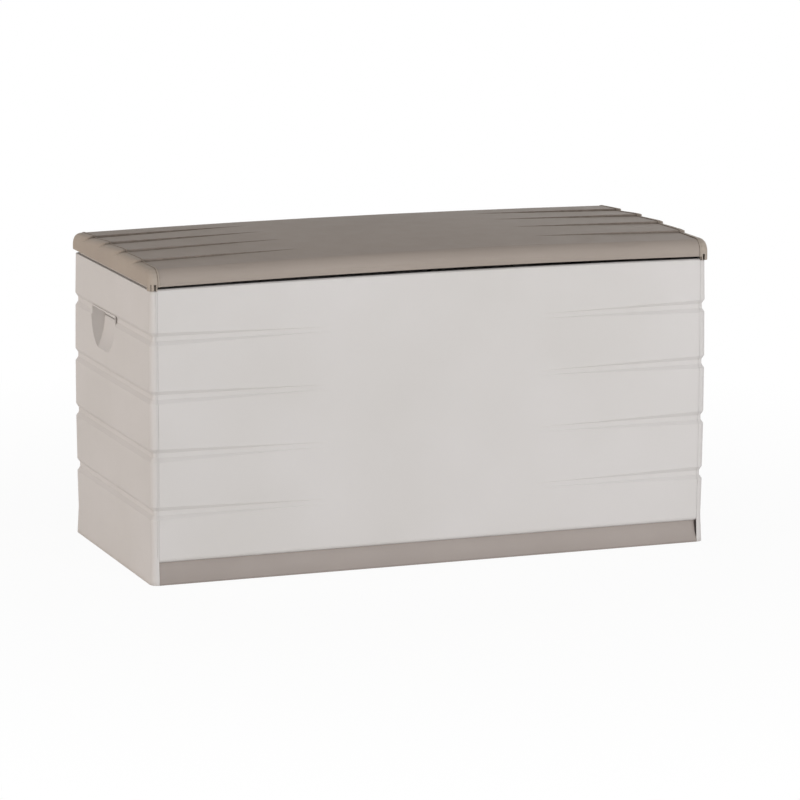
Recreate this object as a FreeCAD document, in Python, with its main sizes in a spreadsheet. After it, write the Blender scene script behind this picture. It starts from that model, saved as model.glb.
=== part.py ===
# Outdoor storage box, a flat-pack moulded deck chest with a crowned lid on two rear hinges.
# Frame: X along the box, Y from front to back, Z up, origin on the floor at the middle.
import FreeCAD
import Part
import Sketcher
import math
import os
import re

# Driving sizes, in millimetres and degrees.
driving = {
    # the chest walls
    "bodyLength": 1196.0,
    "bodyDepth": 536.0,
    "bodyHeight": 590.0,
    "wall": 3.0,
    "wallBulge": 3.0,
    "cornerRound": 15.0,
    "stripWidth": 16.0,
    "footHeight": 55.0,
    "rimWidth": 7.0,
    "rimEase": 1.0,
    # the rain lips that stand inside the lid's caps
    "rainLip": 2.5,
    "rainLipRise": 12.0,
    "rainLipEase": 1.0,
    # the pressed grooves of the walls
    "grooveWidth": 26.0,
    "grooveFloor": 9.0,
    "grooveDepth": 5.5,
    "grooveLowest": 145.0,
    "groovePitch": 116.5,
    "dartLength": 378.0,
    "dartClear": 2.0,
    "dartRise": 0.2,
    # the front and back panels
    "panelDepth": 13.0,
    "panelCurl": 9.0,
    "panelTopEase": 2.5,
    "panelRaise": 2.5,
    "panelCrown": 4.5,
    "panelRib": 2.5,
    "panelRibPitch": 190.0,
    "seatGap": 0.3,
    # the flanges that the panels are screwed to
    "flangeWidth": 22.0,
    "flangeStop": 8.0,
    # the screws
    "screwShank": 2.0,
    "screwLength": 11.0,
    "screwHead": 4.0,
    "screwHeadHeight": 2.5,
    "screwEase": 0.3,
    "bossRadius": 4.6,
    # the base
    "baseHeight": 44.0,
    "baseRecess": 12.0,
    "baseToe": 4.0,
    "baseSweep": 90.0,
    "baseRib": 2.5,
    "baseCell": 105.0,
    "padWidth": 46.0,
    "padDrop": 1.5,
    "baseEase": 1.5,
    "tongueWidth": 30.0,
    "tongueThick": 2.5,
    "tongueBack": 5.5,
    "tongueDrop": 2.0,
    "tonguePitch": 300.0,
    "tongueEase": 0.4,
    "tabWidth": 40.0,
    "tabReach": 22.0,
    "tabPitch": 150.0,
    # the hand grips
    "gripWidth": 164.0,
    "gripHeight": 82.0,
    "gripDepth": 26.0,
    "gripCentre": 58.0,
    "gripTop": 499.0,
    "gripSlope": 14.0,
    "gripRound": 68.0,
    "gripFlat": 16.0,
    "gripSweep": 90.0,
    # the lid
    "lidLength": 1200.0,
    "lidDepth": 540.0,
    "lidGap": 8.5,
    "lidCrest": 51.5,
    "lidArch": 3600.0,
    "lidRound": 26.0,
    "lidCrown": 6.0,
    "lidRib": 2.5,
    "lidRibDepth": 12.0,
    "lidRibPitch": 144.0,
    "lidRibY": 92.0,
    "lapPitch": 110.0,
    "lapDepth": 4.5,
    "lapRun": 95.0,
    "lapRunOn": 0.25,
    "lapClear": 0.5,
    "lapSweep": 36.0,
    "lapLength": 350.0,
    "capWidth": 21.7,
    "capRound": 14.0,
    "capInnerEase": 8.0,
    "beadWidth": 3.0,
    "beadHeight": 1.2,
    "toeDepth": 14.0,
    "toeEase": 0.8,
    "slotWidth": 4.5,
    "slotHeight": 13.0,
    "capScrewPitch": 170.0,
    "capScrewHeight": 618.0,
    # the hinges
    "hingeX": 480.0,
    "hingeInset": 8.0,
    "hingeRise": 9.5,
    "knuckleRadius": 6.0,
    "knuckleLength": 30.0,
    "pinRadius": 3.0,
    "pinClearance": 0.05,
    "pinHead": 4.4,
    "pinHeadHeight": 1.5,
    "earThickness": 5.0,
    "bracketWidth": 44.0,
    "bracketDrop": 42.0,
    "bracketPlate": 3.5,
    "bracketScrewSpread": 30.0,
    "bracketScrewDrop": 21.0,
    "hingePlay": 0.5,
    "notchRise": 0.6,
    "earEase": 0.001,
    "pinTail": 1.0,
    # how far cutting tools and joined blocks run past a face, and below the walls' top
    "overrun": 1.0,
    "capReach": 5.0,
    "coreReach": 4.0,
    # degrees the lid's outline is turned for each unit of half length over radius
    "crownTurn": 125.0,
}

grooveCount = 4
lapCount = 4
screwsPerSeam = 3
tabsPerSide = 3
tongueCount = 4
capScrews = 3
cornerRuns = 4
shoulderRuns = 5
roundRuns = 4
archLean = 86
headSides = 6
holeSides = 8

doc = FreeCAD.newDocument("OutdoorStorageBox")
sheet = doc.addObject("Spreadsheet::Sheet", "Sizes")
for row, (alias, number) in enumerate(driving.items(), start=1):
    sheet.set("A%d" % row, alias)
    sheet.set("B%d" % row, str(number))
    sheet.setAlias("B%d" % row, alias)
doc.recompute()


def sized(text):
    # Turns size names in an expression into references to the sheet.
    return re.sub(r"[A-Za-z]+", lambda word: "Sizes." + word.group() if word.group() in driving
                  else word.group(), str(text))


def amount(text):
    # The present value of an expression.
    return float(sheet.evalExpression(sized(text)))


def point(x, y, z=0.0):
    return FreeCAD.Vector(x, y, z)


def newBody(name):
    return doc.addObject("PartDesign::Body", name)


def originPlane(body, role):
    return [feature for feature in body.Origin.OriginFeatures if feature.Role == role][0]


def arcBetween(start, end, radius):
    # The short arc from start to end: a positive radius turns left, a negative one right.
    middle = (start + end) * 0.5
    chord = end - start
    reach = math.sqrt(max(radius * radius - chord.Length * chord.Length / 4, 0.0))
    left = point(-chord.y, chord.x).normalize()
    centre = middle + left * math.copysign(reach, radius)
    first, last = (start, end) if radius > 0 else (end, start)
    begin = math.atan2(first.y - centre.y, first.x - centre.x)
    finish = math.atan2(last.y - centre.y, last.x - centre.x)
    circle = Part.Circle(centre, point(0, 0, 1), abs(radius))
    return Part.ArcOfCircle(circle, begin, finish)


def outline(body, name, role, corners, offset="0", closed=True):
    # A sketch through corners, each an (x, y) pair of expressions, or (x, y, radius)
    # where an arc of that signed radius leads on to the next corner.
    sketch = body.newObject("Sketcher::SketchObject", name)
    sketch.AttachmentSupport = [(originPlane(body, role), "")]
    sketch.MapMode = "FlatFace"
    sketch.setExpression(".AttachmentOffset.Base.z", sized(offset))
    places = [point(amount(corner[0]), amount(corner[1])) for corner in corners]
    edges = len(corners) if closed else len(corners) - 1
    begins = []
    ends = []
    for index in range(edges):
        start = places[index]
        end = places[(index + 1) % len(corners)]
        radius = amount(corners[index][2]) if len(corners[index]) > 2 else 0
        if radius:
            sketch.addGeometry(arcBetween(start, end, radius), False)
        else:
            sketch.addGeometry(Part.LineSegment(start, end), False)
        begins.append(1 if radius >= 0 else 2)
        ends.append(2 if radius >= 0 else 1)
    for index in range(edges if closed else edges - 1):
        after = (index + 1) % edges
        sketch.addConstraint(Sketcher.Constraint("Coincident", index, ends[index], after, begins[after]))
    for index, corner in enumerate(corners):
        edge, spot = (index, begins[index]) if index < edges else (edges - 1, ends[edges - 1])
        for kind, text in (("DistanceX", corner[0]), ("DistanceY", corner[1])):
            number = sketch.addConstraint(Sketcher.Constraint(kind, -1, 1, edge, spot, amount(text)))
            sketch.setExpression("Constraints[%d]" % number, sized(text))
    for index in range(edges):
        if len(corners[index]) > 2:
            text = "abs(%s)" % corners[index][2]
            number = sketch.addConstraint(Sketcher.Constraint("Radius", index, amount(text)))
            sketch.setExpression("Constraints[%d]" % number, sized(text))
    return sketch


def pad(body, name, sketch, length, both=False, reverse=False):
    feature = body.newObject("PartDesign::Pad", name)
    feature.Profile = sketch
    feature.setExpression("Length", sized(length))
    feature.Reversed = reverse
    if both:
        feature.SideType = "Symmetric"
    doc.recompute()
    return feature


def taper(body, name, first, *others):
    # A form with straight edges from one sketch on to the others.
    loft = body.newObject("PartDesign::AdditiveLoft", name)
    loft.Profile = first
    loft.Sections = list(others)
    loft.Ruled = True
    doc.recompute()
    return body


def pocket(body, name, sketch):
    feature = body.newObject("PartDesign::Pocket", name)
    feature.Profile = sketch
    feature.Type = "ThroughAll"
    feature.SideType = "Symmetric"
    doc.recompute()
    return feature


def block(name, low, high):
    # A box from its low corner to its high corner, each three expressions.
    box = doc.addObject("Part::Box", name)
    for index, (axis, side) in enumerate((("x", "Length"), ("y", "Width"), ("z", "Height"))):
        box.setExpression(".Placement.Base." + axis, sized(low[index]))
        box.setExpression(side, sized("(%s) - (%s)" % (high[index], low[index])))
    return box


def rod(name, start, axis, radius, length, sides=0):
    # A cylinder, or a bar with flat sides, from start along "x", "-x", "y", "-y", "z" or "-z".
    turns = {"x": ((0, 1, 0), 90), "-x": ((0, 1, 0), -90), "y": ((1, 0, 0), -90),
             "-y": ((1, 0, 0), 90), "z": ((0, 0, 1), 0), "-z": ((1, 0, 0), 180)}
    way, angle = turns[axis]
    bar = doc.addObject("Part::Prism" if sides else "Part::Cylinder", name)
    bar.Placement = FreeCAD.Placement(point(0, 0), FreeCAD.Rotation(point(*way), angle))
    for index, letter in enumerate("xyz"):
        bar.setExpression(".Placement.Base." + letter, sized(start[index]))
    if sides:
        bar.Polygon = sides
    bar.setExpression("Circumradius" if sides else "Radius", sized(radius))
    bar.setExpression("Height", sized(length))
    return bar


def fuse(name, shapes):
    joined = doc.addObject("Part::MultiFuse", name)
    joined.Shapes = shapes
    joined.Refine = True
    return joined


def common(name, first, second):
    shared = doc.addObject("Part::MultiCommon", name)
    shared.Shapes = [first, second]
    return shared


def cut(name, base, tool):
    rest = doc.addObject("Part::Cut", name)
    rest.Base = base
    rest.Tool = tool
    rest.Refine = True
    return rest


def ends(edge):
    return [vertex.Point for vertex in edge.Vertexes]


def ease(body, name, kind, size, wanted):
    # Rounds or bevels the edges of a body's newest form that the test picks.
    newest = body.Tip
    picked = ["Edge%d" % number for number, edge in enumerate(newest.Shape.Edges, start=1) if wanted(edge)]
    eased = body.newObject("PartDesign::" + kind, name)
    eased.Base = (newest, picked)
    eased.setExpression("Radius" if kind == "Fillet" else "Size", sized(size))
    doc.recompute()
    return eased


def group(name, shapes):
    # Separate solids kept side by side in one piece.
    together = doc.addObject("Part::Compound", name)
    together.Links = shapes
    return together


# Heights and places that several pieces share, as expressions on the sheet.
seam = "(bodyLength / 2 - stripWidth)"
lidSeat = "(bodyHeight + lidGap)"
lidTop = "(bodyHeight + lidCrest)"
panelBack = "(bodyDepth / 2 - panelDepth)"
grooveRun = "((grooveWidth - grooveFloor) / 2)"
wallHalf = "((bodyHeight - footHeight) / 2)"
wallArc = "((%s^2 + wallBulge^2) / (2 * wallBulge))" % wallHalf
hingeY = "(lidDepth / 2 - hingeInset)"
hingeZ = "(bodyHeight + hingeRise)"
lidHalf = "(lidLength / 2 - capWidth - seatGap)"
baseEnd = "(bodyLength / 2 - wallBulge - wall - baseEase)"
tabScrewX = "(%s - tabReach / 2)" % baseEnd
seamScrewX = "(%s - flangeWidth / 2)" % seam
bracketScrewX = "(bracketScrewSpread / 2)"
bracketScrewZ = "(bodyHeight - bracketScrewDrop)"


def inset(height):
    # How far the outer face lies inside the fullest line of the wall at a height.
    return "(wallBulge * ((%s - footHeight - %s) / %s)^2)" % (height, wallHalf, wallHalf)


def grooveHeight(index):
    return "(grooveLowest + %d * groovePitch)" % index


def seamScrewHeight(index):
    # The screws sit halfway between grooves, one to every second plain band.
    return "(grooveLowest + %s * groovePitch)" % (2 * index - 0.5)


def grooveShift(thickness):
    # How much farther out a groove's bends lie on a face thickness inside the outer one.
    return "(%s * (sqrt(grooveDepth^2 + %s^2) - %s) / grooveDepth)" % (thickness, grooveRun, grooveRun)


def wallLine(plane, thickness):
    # The line of the wall's face from the floor to its last groove, thickness inside its
    # outer face. plane is the expression for the fullest face's distance from the middle.
    depth = "(%s - %s)" % (plane, thickness)
    line = [(depth, "0"), ("(%s - %s)" % (depth, inset("footHeight")), "footHeight")]
    shift = grooveShift(thickness)
    for index in range(grooveCount):
        height = grooveHeight(index)
        face = "(%s - %s)" % (depth, inset(height))
        floor = "(%s - grooveDepth)" % face
        for way, across, reach in (("-", face, "grooveWidth"), ("-", floor, "grooveFloor"),
                                   ("+", floor, "grooveFloor"), ("+", face, "grooveWidth")):
            line.append((across, "(%s %s %s / 2 %s %s)" % (height, way, reach, way, shift)))
    return line


def onSide(side, corners):
    # Puts a line on the left or right side and keeps the sense of its arcs.
    placed = []
    for corner in corners:
        flipped = ["%d * %s" % (side, corner[0]), corner[1]]
        if len(corner) > 2:
            flipped.append("%d * (%s)" % (side, corner[2]))
        placed.append(tuple(flipped))
    return placed


def backwards(line):
    # The same line walked from its end to its start, with the arcs turned over.
    turned = []
    for index in range(len(line) - 1, -1, -1):
        arc = line[index - 1][2:] if index else ()
        corner = line[index][:2]
        turned.append(corner + (("-1 * (%s)" % arc[0],) if arc else ()))
    return turned


def sideWall(side, name):
    # The pressed wall swept round both corners, with its end plates and flanges.
    body = newBody(name + "_wall")
    plane = "bodyLength / 2"
    face = "(%s - %s)" % (plane, inset("bodyHeight"))
    rim = [(face, "bodyHeight - rimEase"), ("(%s - rimEase)" % face, "bodyHeight"),
           ("(%s - rimWidth)" % face, "bodyHeight"), ("(%s - rimWidth)" % face, "bodyHeight - wall"),
           ("(%s - wall)" % face, "bodyHeight - wall")]
    profile = outline(body, "Section", "XZ_Plane",
                      onSide(side, wallLine(plane, "0") + rim + backwards(wallLine(plane, "wall"))))
    edge = "%d * bodyLength / 2" % side
    front = "-bodyDepth / 2"
    turns = [math.radians(90 * step / cornerRuns) for step in range(cornerRuns + 1)]
    bend = [("%s - %.6f * cornerRound" % (edge, side * (1 - math.cos(turn))),
             "%s + %.6f * cornerRound" % (front, 1 - math.sin(turn))) for turn in turns]
    path = outline(body, "Path", "XY_Plane", [(edge, "0")] + bend + [("%d * %s" % (side, seam), front)],
                   closed=False)
    sweep = body.newObject("PartDesign::AdditivePipe", "Wall")
    sweep.Profile = profile
    sweep.Spine = path
    sweep.Transition = "Right corner"
    doc.recompute()
    # The plate that closes the wall at the seam follows the same grooved line.
    line = onSide(-1, wallLine("bodyDepth / 2", "0"))[1:]
    back = "(-1 * %s + seatGap + wall)" % panelBack
    plate = outline(body, "PlateOutline", "YZ_Plane",
                    line + [("-1 * (bodyDepth / 2 - %s)" % inset("bodyHeight"), "bodyHeight - rimEase"),
                            (back, "bodyHeight - rimEase"), (back, "footHeight")],
                    offset="%d * %s" % (side, seam))
    plates = pad(body, "Plate", plate, "wall", reverse=side < 0)
    inner = "%d * (%s - flangeWidth)" % (side, seam)
    outer = "%d * (%s + wall)" % (side, seam)
    ahead = "-1 * %s + seatGap" % panelBack
    flange = outline(body, "FlangeOutline", "XY_Plane",
                     [(inner, ahead), (outer, ahead), (outer, back), (inner, back)],
                     offset="baseHeight + seatGap")
    flanges = pad(body, "Flange", flange, "bodyHeight - baseHeight - flangeStop")
    mirrored = body.newObject("PartDesign::Mirrored", "BackHalf")
    mirrored.Originals = [sweep, plates, flanges]
    mirrored.MirrorPlane = (originPlane(body, "XZ_Plane"), [""])
    body.Tip = mirrored
    doc.recompute()
    return body


def gripForm(side, name, grow):
    # The scoop of a hand grip, deep under its straight top edge and running out below.
    wedge = newBody(name + "_wedge")
    out = "(bodyLength / 2 %s wall)" % ("+" if grow == "0" else "-")
    deep = "(bodyLength / 2 - gripDepth - %s)" % grow
    profile = outline(wedge, "Section", "XZ_Plane", onSide(side, [
        (out, "gripTop + %s" % grow), (deep, "gripTop + %s" % grow),
        (deep, "gripTop - gripFlat", "gripSweep"),
        (out, "gripTop - gripHeight - 2 * %s" % grow)]))
    pad(wedge, "Wedge", profile, "2 * (abs(gripCentre) + gripWidth)", both=True)
    plan = newBody(name + "_plan")
    rings = []
    for index, (place, narrow) in enumerate((("bodyLength / 2", "0"), ("bodyLength / 2 - gripDepth", "gripSlope"))):
        low = "(gripTop - gripHeight - %s + %s)" % (grow, narrow)
        high = "(gripTop + 2 * wall)"
        left = "(gripCentre - gripWidth / 2 - %s + %s)" % (grow, narrow)
        right = "(gripCentre + gripWidth / 2 + %s - %s)" % (grow, narrow)
        bend = "(gripRound + %s - %s)" % (grow, narrow)
        rings.append(outline(plan, "Section%d" % (index + 1), "YZ_Plane", [
            (left, high), (left, "%s + %s" % (low, bend), bend), ("%s + %s" % (left, bend), low),
            ("%s - %s" % (right, bend), low, bend), (right, "%s + %s" % (low, bend)), (right, high)],
            offset="%d * (%s)" % (side, place)))
    taper(plan, "Plan", *rings)
    return common(name, wedge, plan)


def sidewise(side, near, far, front, back, low, high):
    # The corners of a block that runs from near to far out from the middle on one side.
    first, last = (near, far) if side > 0 else ("-1 * (%s)" % far, "-1 * (%s)" % near)
    return (first, front, low), (last, back, high)


def sidePanel(side, name):
    shapes = [sideWall(side, name), gripForm(side, name + "_grip_cup", "wall")]
    near = "(%s + 2 * wall + rainLipEase)" % lidHalf
    far = "(bodyLength / 2 - %s - rimWidth + wall)" % inset("bodyHeight")
    reach = "(%s - 2 * wall)" % panelBack
    shapes.append(block(name + "_ledge", *sidewise(side, near, far, "-1 * " + reach, reach,
                                                   "bodyHeight - wall", "bodyHeight")))
    shapes.append(block(name + "_rain_lip", *sidewise(side, near, near + " + rainLip", "-1 * " + reach, reach,
                                                      "bodyHeight - wall / 2", "bodyHeight + rainLipRise")))
    holes = [gripForm(side, name + "_grip_scoop", "0")]
    for index in range(tabsPerSide):
        along = "(%d * tabPitch)" % (index - (tabsPerSide - 1) // 2)
        near = "(%s - tabReach)" % baseEnd
        far = "(bodyLength / 2 - wallBulge - wall / 2)"
        low, high = ("(%s)" % near, far) if side > 0 else ("(-1 * %s)" % far, "(-1 * %s)" % near)
        shapes.append(block("%s_tab_%d" % (name, index + 1),
                            (low, "%s - tabWidth / 2" % along, "baseHeight + seatGap"),
                            (high, "%s + tabWidth / 2" % along, "baseHeight + seatGap + wall")))
        holes.append(rod("%s_tab_hole_%d" % (name, index + 1),
                         ("%d * %s" % (side, tabScrewX), along, "baseHeight - overrun"), "z",
                         "screwShank + screwEase", "wall + 3 * overrun", holeSides))
    for face in (-1, 1):
        for index in range(screwsPerSeam):
            holes.append(rod("%s_flange_hole_%d_%d" % (name, face + 2, index + 1),
                             ("%d * %s" % (side, seamScrewX), "%d * (%s - wall - 2 * overrun)" % (face, panelBack),
                              seamScrewHeight(index)), "y" if face > 0 else "-y",
                             "screwShank + screwEase", "wall + 4 * overrun", holeSides))
    return cut(name, fuse(name + "_solid", shapes), fuse(name + "_holes", holes))


def panelBlock(name, grow, top, crowned):
    # The filled form of a front or back panel, grow inside its outer faces.
    body = newBody(name)
    plane = "bodyDepth / 2"
    under = "(baseHeight + seatGap)"
    curlTop = "(%s + panelCurl)" % under
    curlFace = "(%s - %s)" % (plane, inset(curlTop))
    peak = "(%s + panelCrown)" % top if crowned else top
    line = [("(%s - panelCurl)" % curlFace, "%s + %s" % (under, grow), "panelCurl - %s" % grow),
            ("(%s - %s)" % (curlFace, grow), curlTop, "%s - %s" % (wallArc, grow)),
            ("(%s - %s - %s)" % (plane, inset(peak), grow), "%s - %s" % (peak, grow))]
    back = "(%s - %s)" % (panelBack, "0" if grow == "0" else "1")
    line += [(back, "%s - %s" % (peak, grow)), (back, "%s + %s" % (under, grow))]
    profile = outline(body, "Section", "YZ_Plane", onSide(-1, line))
    pad(body, "Length", profile, "2 * (%s - seatGap - %s)" % (seam, grow), both=True)
    if crowned:
        radius = "((%s^2 + panelCrown^2) / (2 * panelCrown))" % seam
        edge = "(%s - %s)" % (top, grow)
        above = outline(body, "TopLine", "XZ_Plane", [
            ("-1 * %s" % seam, edge, "-1 * %s" % radius), (seam, edge),
            (seam, "%s + 4 * panelCrown" % edge), ("-1 * %s" % seam, "%s + 4 * panelCrown" % edge)])
        pocket(body, "Crown", above)
    if grow == "0":
        ease(body, "TopEase", "Chamfer", "panelTopEase", lambda edge: all(
            corner.z > amount(top) - 1 and corner.y < -amount(panelBack) - 1 for corner in ends(edge)))
    return body


def dartCorners(index, grow, depth):
    # The section of a dart: a groove with sloped flanks, its floor at a depth.
    height = grooveHeight(index)
    face = "(bodyDepth / 2 - %s - %s)" % (inset(height), grow)
    low = "(grooveFloor / 2 + %s)" % grooveShift(grow)
    high = "(%s + (%s + dartClear) * %s / grooveDepth)" % (low, depth, grooveRun)
    out = "(%s + dartClear)" % face
    floor = "(%s - %s)" % (face, depth)
    return onSide(-1, [(out, "(%s - %s)" % (height, high)), (floor, "(%s - %s)" % (height, low)),
                       (floor, "(%s + %s)" % (height, low)), (out, "(%s + %s)" % (height, high))])


def darts(name, grow):
    # The grooves that run out from both seams of a panel, fading towards its middle.
    tools = []
    for side in (-1, 1):
        for index in range(grooveCount):
            body = newBody("%s_%d_%d" % (name, side + 2, index + 1))
            deep = outline(body, "Deep", "YZ_Plane", dartCorners(index, grow, "grooveDepth"),
                           offset="%d * %s" % (side, seam))
            tip = outline(body, "Tip", "YZ_Plane", dartCorners(index, grow, "(-1 * dartRise)"),
                          offset="%d * (%s - dartLength)" % (side, seam))
            tools.append(taper(body, "Dart", deep, tip))
    return fuse(name, tools)


def wallPanel(name, top, crowned, hinged):
    # A front or back panel: a pressed skin on a frame, with ribs and screw bosses inside.
    outer = cut(name + "_outer", panelBlock(name + "_form", "0", top, crowned), darts(name + "_darts", "0"))
    hollow = cut(name + "_hollow", panelBlock(name + "_core", "wall", top, crowned),
                 darts(name + "_inner_darts", "wall"))
    under = "(baseHeight + seatGap)"
    front = "-1 * bodyDepth / 2"
    inside = []
    for index in range(-2, 3):
        middle = "(%d * panelRibPitch)" % index
        inside.append(block("%s_rib_%d" % (name, index + 3),
                            ("%s - panelRib / 2" % middle, front, under),
                            ("%s + panelRib / 2" % middle, "-1 * %s" % panelBack, "%s + panelCrown" % top)))
    spots = [("%d * %s" % (side, seamScrewX), seamScrewHeight(index))
             for side in (-1, 1) for index in range(screwsPerSeam)]
    if hinged:
        spots += [("(%d * hingeX + %d * %s)" % (side, way, bracketScrewX), bracketScrewZ)
                  for side in (-1, 1) for way in (-1, 1)]
    pilots = []
    for index, (along, height) in enumerate(spots):
        inside.append(rod("%s_boss_%d" % (name, index + 1), (along, "-1 * " + panelBack, height),
                          "-y", "bossRadius", "panelDepth", headSides))
        pilots.append(rod("%s_pilot_%d" % (name, index + 1), (along, "-1 * (%s - overrun)" % panelBack, height),
                          "-y", "screwShank + pinClearance", "screwLength - wall + overrun", holeSides))
    stiffening = common(name + "_inside", hollow, fuse(name + "_ribs", inside))
    shapes = [cut(name + "_skin", outer, hollow), stiffening]
    step = "(%s - tongueBack)" % panelBack
    for index in range(tongueCount):
        low, high = tongueSpan(index, "0")
        shapes.append(block("%s_step_%d" % (name, index + 1), (low, "-1 * (%s + overrun)" % panelBack, "(%s)" % under),
                            (high, "-1 * " + step, "(%s + wall)" % under)))
        shapes.append(block("%s_tongue_%d" % (name, index + 1),
                            (low, "-1 * (%s + tongueThick)" % step, "baseHeight - wall - tongueDrop"),
                            (high, "-1 * " + step, "(%s + wall)" % under)))
    return cut(name, fuse(name + "_solid", shapes), fuse(name + "_pilots", pilots))


def tongueSpan(index, ease):
    # Where a panel's tongue lies along the box, with ease added at both ends.
    middle = "(%s * tonguePitch)" % (index - (tongueCount - 1) / 2)
    return "(%s - tongueWidth / 2 - %s)" % (middle, ease), "(%s + tongueWidth / 2 + %s)" % (middle, ease)


def trayBlock(name, grow, length):
    # The tray's filled form, grow inside its outer faces: a floor over two flared skirts.
    body = newBody(name)
    foot = "(bodyDepth / 2 - %s)" % grow
    shoulder = "(bodyDepth / 2 - baseRecess - %s)" % grow
    upper = "baseHeight - " + grow
    sweep = "baseSweep + " + grow
    profile = outline(body, "Section", "YZ_Plane", [
        ("-1 * " + foot, "0"), ("-1 * " + foot, "baseToe", sweep), ("-1 * " + shoulder, upper),
        (shoulder, upper, sweep), (foot, "baseToe"), (foot, "0")])
    pad(body, "Form", profile, length, both=True)
    return body


def basePanel(name):
    # The floor tray: flared front and back skirts, a ribbed underside and foot pads.
    length = "2 * (%s - seatGap)" % seam
    tray = cut(name + "_tray", trayBlock(name + "_outside", "0", length),
               trayBlock(name + "_inside", "wall", length + " + 2 * wall"))
    reach = "(%s - 2 * seatGap)" % panelBack
    shapes = [tray, block(name + "_floor", ("-1 * %s" % baseEnd, "-1 * %s" % reach, "baseHeight - wall"),
                          (baseEnd, reach, "baseHeight"))]
    for side in (-1, 1):
        low, high = ("%s - wall" % baseEnd, baseEnd) if side > 0 else ("-1 * %s" % baseEnd, "wall - %s" % baseEnd)
        shapes.append(block("%s_end_%d" % (name, side + 2), (low, "-1 * %s" % reach, "0"),
                            (high, reach, "baseHeight")))
    ribs = []
    for index in range(-5, 6):
        middle = "(%d * baseCell)" % index
        ribs.append(block("%s_cross_rib_%d" % (name, index + 6),
                          ("%s - baseRib / 2" % middle, "-1 * bodyDepth / 2", "padDrop"),
                          ("%s + baseRib / 2" % middle, "bodyDepth / 2", "baseHeight")))
    shapes.append(common(name + "_cross_ribs", fuse(name + "_rib_rows", ribs),
                         trayBlock(name + "_rib_form", "wall / 2", length)))
    for index in (-3, -1, 1, 3):
        middle = "(%d * baseCell / 2)" % index
        shapes.append(block("%s_long_rib_%d" % (name, index + 4),
                            ("-1 * (%s - wall / 2)" % baseEnd, "%s - baseRib / 2" % middle, "padDrop"),
                            ("%s - wall / 2" % baseEnd, "%s + baseRib / 2" % middle, "baseHeight - wall / 2")))
    for index, (along, across) in enumerate(((-5, -1.5), (0, -1.5), (5, -1.5), (0, 0), (-5, 1.5), (0, 1.5),
                                             (5, 1.5))):
        shapes.append(block("%s_pad_%d" % (name, index + 1),
                            ("%d * baseCell - padWidth / 2" % along, "%s * baseCell - padWidth / 2" % across, "0"),
                            ("%d * baseCell + padWidth / 2" % along, "%s * baseCell + padWidth / 2" % across,
                             "wall")))
    pilots = []
    for side in (-1, 1):
        for index in range(tongueCount):
            low, high = tongueSpan(index, "tongueEase")
            near = "(%s - tongueBack - tongueEase)" % panelBack
            far = "(%s - tongueBack + tongueThick + tongueEase)" % panelBack
            across = (near, far) if side > 0 else ("-1 * " + far, "-1 * " + near)
            pilots.append(block("%s_slot_%d_%d" % (name, side + 2, index + 1),
                                (low, across[0], "baseHeight - wall - overrun"),
                                (high, across[1], "baseHeight + overrun")))
        for index in range(tabsPerSide):
            place = ("%d * %s" % (side, tabScrewX), "(%d * tabPitch)" % (index - (tabsPerSide - 1) // 2))
            shapes.append(rod("%s_boss_%d_%d" % (name, side + 2, index + 1),
                              place + ("baseHeight - screwLength - wall",), "z", "bossRadius",
                              "screwLength + wall / 2", headSides))
            pilots.append(rod("%s_pilot_%d_%d" % (name, side + 2, index + 1),
                              place + ("baseHeight - screwLength",), "z", "screwShank + pinClearance",
                              "screwLength + overrun", holeSides))
    return cut(name, fuse(name + "_solid", shapes), fuse(name + "_pilots", pilots))


def archLine(grow, lift, bottom, plain=False):
    # The lid's outline from front to back, grow inside its outer face and lift above its ends.
    # A plain one has two straight runs for each rounding.
    half = "(lidDepth / 2)"
    turn = "(%s - lidRound)" % half
    centre = "(%s + %s - lidArch)" % (lidTop, lift)
    drop = "sqrt((lidArch - lidRound)^2 - %s^2)" % turn
    share = "((lidArch - %s) / (lidArch - lidRound))" % grow
    side = "(%s - %s)" % (half, grow)
    level = "(%s + %s)" % (centre, drop)
    tangentY = "(%s * %s)" % (share, turn)
    tangentZ = "(%s + %s * %s)" % (centre, share, drop)
    small = "-1 * (lidRound - %s)" % grow
    large = "-1 * (lidArch - %s)" % grow
    if plain:
        lean = "(1 + %s / (lidArch - lidRound))" % turn
        bendY = "(%s + (lidRound - %s) * %s / sqrt(2 * %s))" % (turn, grow, lean, lean)
        bendZ = "(%s + (lidRound - %s) * %s / (lidArch - lidRound) / sqrt(2 * %s))" % (level, grow, drop, lean)
        return [("-1 * " + side, bottom), ("-1 * " + side, level), ("-1 * " + bendY, bendZ),
                ("-1 * " + tangentY, tangentZ, large), (tangentY, tangentZ), (bendY, bendZ),
                (side, level), (side, bottom)]
    return [("-1 * " + side, bottom), ("-1 * " + side, level, small), ("-1 * " + tangentY, tangentZ, large),
            (tangentY, tangentZ, small), (side, level), (side, bottom)]


def archHeight(y):
    return "(%s - lidArch + sqrt(lidArch^2 - (%s)^2))" % (lidTop, y)


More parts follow.
